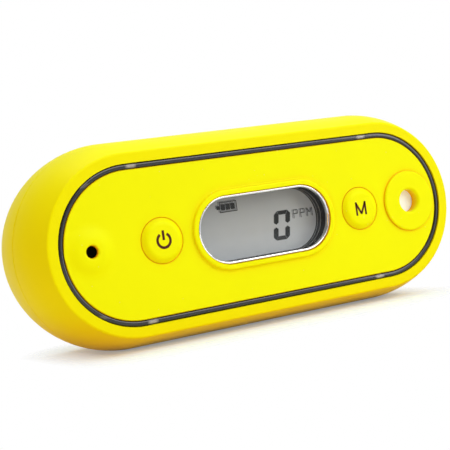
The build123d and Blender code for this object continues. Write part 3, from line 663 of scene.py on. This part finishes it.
# Painted shadows: each set's marks again, shifted, as see-through dark sheets behind them
for name, outlines, shift, _ in display_sets:
    marks(name + "_painted_shadow", shifted(outlines, *shift), display_middle, painted_shadow_y, display_painted_shadow, "case")
for name, outlines, _, ink in display_sets:
    marks(name + "_marks", outlines, display_middle, mark_y, ink, "case")


# Two thin painted highlights round the window's wall: grey bands where the edges of its layers catch the
# light

EDGE_DEPTHS = (2.75, 4.15)
EDGE_PEN = 0.14
EDGE_INSET = 0.02
EDGE_STEPS = 96


def window_loop(depth):
    """Points round the window's wall, at a depth in millimetres behind the face."""
    radius = window_wall_radius - EDGE_INSET * MM
    points = []
    for step in range(EDGE_STEPS):
        turn = 2 * pi * (step + 0.5) / EDGE_STEPS
        end = window_half_straight if cos(turn) > 0 else -window_half_straight
        points.append((end + radius * cos(turn), face_y + depth * MM, centre_z + radius * sin(turn)))
    return points


for number, depth in enumerate(EDGE_DEPTHS, 1):
    band("window_edge_line_%d" % number, window_loop(depth), window_loop(depth + EDGE_PEN), painted_edge_highlight)


# The soft webs that close the gap between each button and the panel. An edge is its radius and its depth

WEB_STEPS = 96
WEB_INNER = (5.33, 0.192)
WEB_OUTER = (5.5, 0.12)


def web_loop(middle_x, radius, depth):
    """Points of a circle in millimetres round a button, at a depth behind the face."""
    points = []
    for step in range(WEB_STEPS):
        turn = 2 * pi * step / WEB_STEPS
        across, up = radius * MM * cos(turn), radius * MM * sin(turn)
        points.append((middle_x + across, face_y + depth * MM, centre_z + up))
    return points


for name, box in (("power_button_web", power_box), ("mode_button_web", mode_box)):
    middle_x = middle_of(box)[0]
    band(name, web_loop(middle_x, *WEB_INNER), web_loop(middle_x, *WEB_OUTER), button_plastic)


# The buttons' symbols: a broken ring with a bar in its gap, and the letter M

POWER_RADIUS = 1.66
POWER_PEN = 0.62
POWER_GAP_DEGREES = 31
POWER_BAR = (0.1, 2.35)
MODE_WIDTH = 3.3
MODE_HEIGHT = 3.4
MODE_PEN = 0.55
MODE_SHIFT = -0.3
MODE_DIP = 0.1
SYMBOL_LIFT = 0.02 * MM


def button_marks(name, outlines, box, body):
    marks(name, outlines, (middle_of(box)[0], centre_z), box[0][1] - SYMBOL_LIFT, symbol_ink, body)


power_outlines = arc_strokes(POWER_RADIUS, POWER_PEN, POWER_GAP_DEGREES, 360 - POWER_GAP_DEGREES)
power_outlines.append(stroke((0, POWER_BAR[0]), (0, POWER_BAR[1]), POWER_PEN))
button_marks("power_symbol", power_outlines, power_box, "power_key")
mode_left = MODE_SHIFT - MODE_WIDTH / 2
mode_outlines = letter_m(mode_left, -MODE_HEIGHT / 2, MODE_WIDTH, MODE_HEIGHT, MODE_PEN, MODE_DIP)
button_marks("mode_letter", mode_outlines, mode_box, "mode_key")


# The floor. For the camera it ends softly round the foot, so that it runs into the white background

FLOOR_SIZE = 1.0
FLOOR_SEEN = ((0.68, 0.75, 0.82), (0.72, 0.79, 0.86))
FLOOR_UNSEEN = (0.86, 0.68, 0.44)
FLOOR_GLOW = 0.26
FOOT_HALF_LENGTH = 38 * MM
SHADOW_START = 4 * MM
SHADOW_END = 17 * MM


def floor_material():
    """Pale where the camera, gloss or glass shows it, and warm in the light that it throws back."""
    shader = Shader("floor_white")
    grain = shader.noise(90.0, detail=3.0)
    seen, mirrored = shader.rays()
    shown = shader.calc("MAXIMUM", seen, mirrored)
    shader.set(Base_Color=shader.mix(shown, FLOOR_UNSEEN, shader.mix(grain, *FLOOR_SEEN)), Roughness=0.7)
    glow = shader.calc("MULTIPLY", shown, FLOOR_GLOW)
    shader.set(Specular_IOR_Level=0.1, Emission_Color=(1.0, 1.0, 1.0), Emission_Strength=glow)

    def past_foot(value, middle, half):
        """How far a coordinate lies outside middle +- half, squared."""
        past = shader.calc("MAXIMUM", shader.calc("SUBTRACT", shader.distance(value, middle), half), 0.0)
        return shader.calc("MULTIPLY", past, past)

    x, y, _ = shader.coordinates()
    depth_middle = (front_box[0][1] + rear_box[1][1]) / 2
    depth_half = (rear_box[1][1] - front_box[0][1]) / 2
    square = shader.calc("ADD", past_foot(x, 0.0, FOOT_HALF_LENGTH), past_foot(y, depth_middle, depth_half))
    near_foot = shader.ramp(shader.calc("SQRT", square), 1.0, 0.0, SHADOW_START, SHADOW_END)
    shader.set(Alpha=shader.calc("MAXIMUM", near_foot, shader.calc("SUBTRACT", 1.0, seen)))
    return shader.material


bpy.ops.mesh.primitive_plane_add(size=FLOOR_SIZE, location=(0, 0, 0))
floor = bpy.context.object
floor.name = "floor"
floor.data.materials.append(floor_material())


# Lamps: a large soft light from the front right, one overhead, a narrow one low on the right, a warm fill


def area_lamp(name, place, size, power, colour=(1, 1, 1), shine=1.0):
    """A rectangular lamp of size (width, height) that faces the object's middle."""
    data = bpy.data.lights.new(name, "AREA")
    data.shape = "RECTANGLE"
    data.size, data.size_y = size
    data.energy = power
    data.specular_factor = shine
    data.color = colour
    lamp = bpy.data.objects.new(name, data)
    scene.collection.objects.link(lamp)
    lamp.location = place
    lamp.rotation_euler = (Vector((0, 0, centre_z)) - Vector(place)).to_track_quat("-Z", "Y").to_euler()


WARM = (1.0, 0.62, 0.2)
area_lamp("key_softbox", place=(0.36, -0.62, 0.50), size=(0.7, 0.7), power=5.0, shine=0.3)
area_lamp("right_strip", place=(0.61, -0.69, 0.08), size=(0.14, 0.25), power=0.5)
area_lamp("top_softbox", place=(0.06, 0.10, 0.70), size=(0.75, 0.55), power=2.8)
area_lamp("left_fill", place=(-0.75, -0.15, 0.22), size=(0.5, 0.5), power=1.9, colour=WARM, shine=0.1)


# The room. It is white behind the object. In its gloss it is dim left of the camera and light elsewhere

DIM_SIDE = (-0.65, -0.76, 0.0)
ROOM_BRIGHT = 0.8
ROOM_DIM = 0.03
DIM_START = 0.35
DIM_END = 0.9
ROOM_LIGHT = 0.2
BACKGROUND = 1.0


def studio_room():
    world = bpy.data.worlds.new("studio")
    world.use_nodes = True
    room = NodeTree(world.node_tree)
    seen, mirrored = room.rays()
    towards = room.tree.nodes.new("ShaderNodeTexCoord")
    side = room.tree.nodes.new("ShaderNodeVectorMath")
    side.operation = "DOT_PRODUCT"
    side.inputs[1].default_value = DIM_SIDE
    room.link(towards.outputs["Generated"], side.inputs[0])
    wall = room.ramp(side.outputs["Value"], ROOM_BRIGHT, ROOM_DIM, DIM_START, DIM_END)
    strength = room.ramp(seen, room.ramp(mirrored, ROOM_LIGHT, wall), BACKGROUND)
    background = room.tree.nodes["Background"]
    room.fill(background.inputs["Color"], (1.0, 1.0, 1.0))
    room.fill(background.inputs["Strength"], strength)
    return world


scene.world = studio_room()
scene.view_settings.view_transform = "Standard"


# The camera, placed from the middle of the face

CAMERA_FROM_FACE = Vector((-0.14588, -0.24286, 0.00903))
VIEW_AZIMUTH = radians(-29.01)
VIEW_ELEVATION = radians(1.603)
ROLL = radians(-8.24)
LENS_MM = 93.39
SENSOR_MM = 36.0

forward = Vector((
    -sin(VIEW_AZIMUTH) * cos(VIEW_ELEVATION),
    cos(VIEW_AZIMUTH) * cos(VIEW_ELEVATION),
    -sin(VIEW_ELEVATION),
))
level_right = forward.cross(Vector((0, 0, 1))).normalized()
level_up = level_right.cross(forward)
right = level_right * cos(ROLL) + level_up * sin(ROLL)
up = -level_right * sin(ROLL) + level_up * cos(ROLL)

camera_data = bpy.data.cameras.new("camera")
camera_data.sensor_width = SENSOR_MM
camera_data.lens = LENS_MM
camera = bpy.data.objects.new("camera", camera_data)
scene.collection.objects.link(camera)
turn = Matrix((right, up, -forward)).transposed().to_4x4()
camera.matrix_world = Matrix.Translation(Vector((0, face_y, centre_z)) + CAMERA_FROM_FACE) @ turn
scene.camera = camera
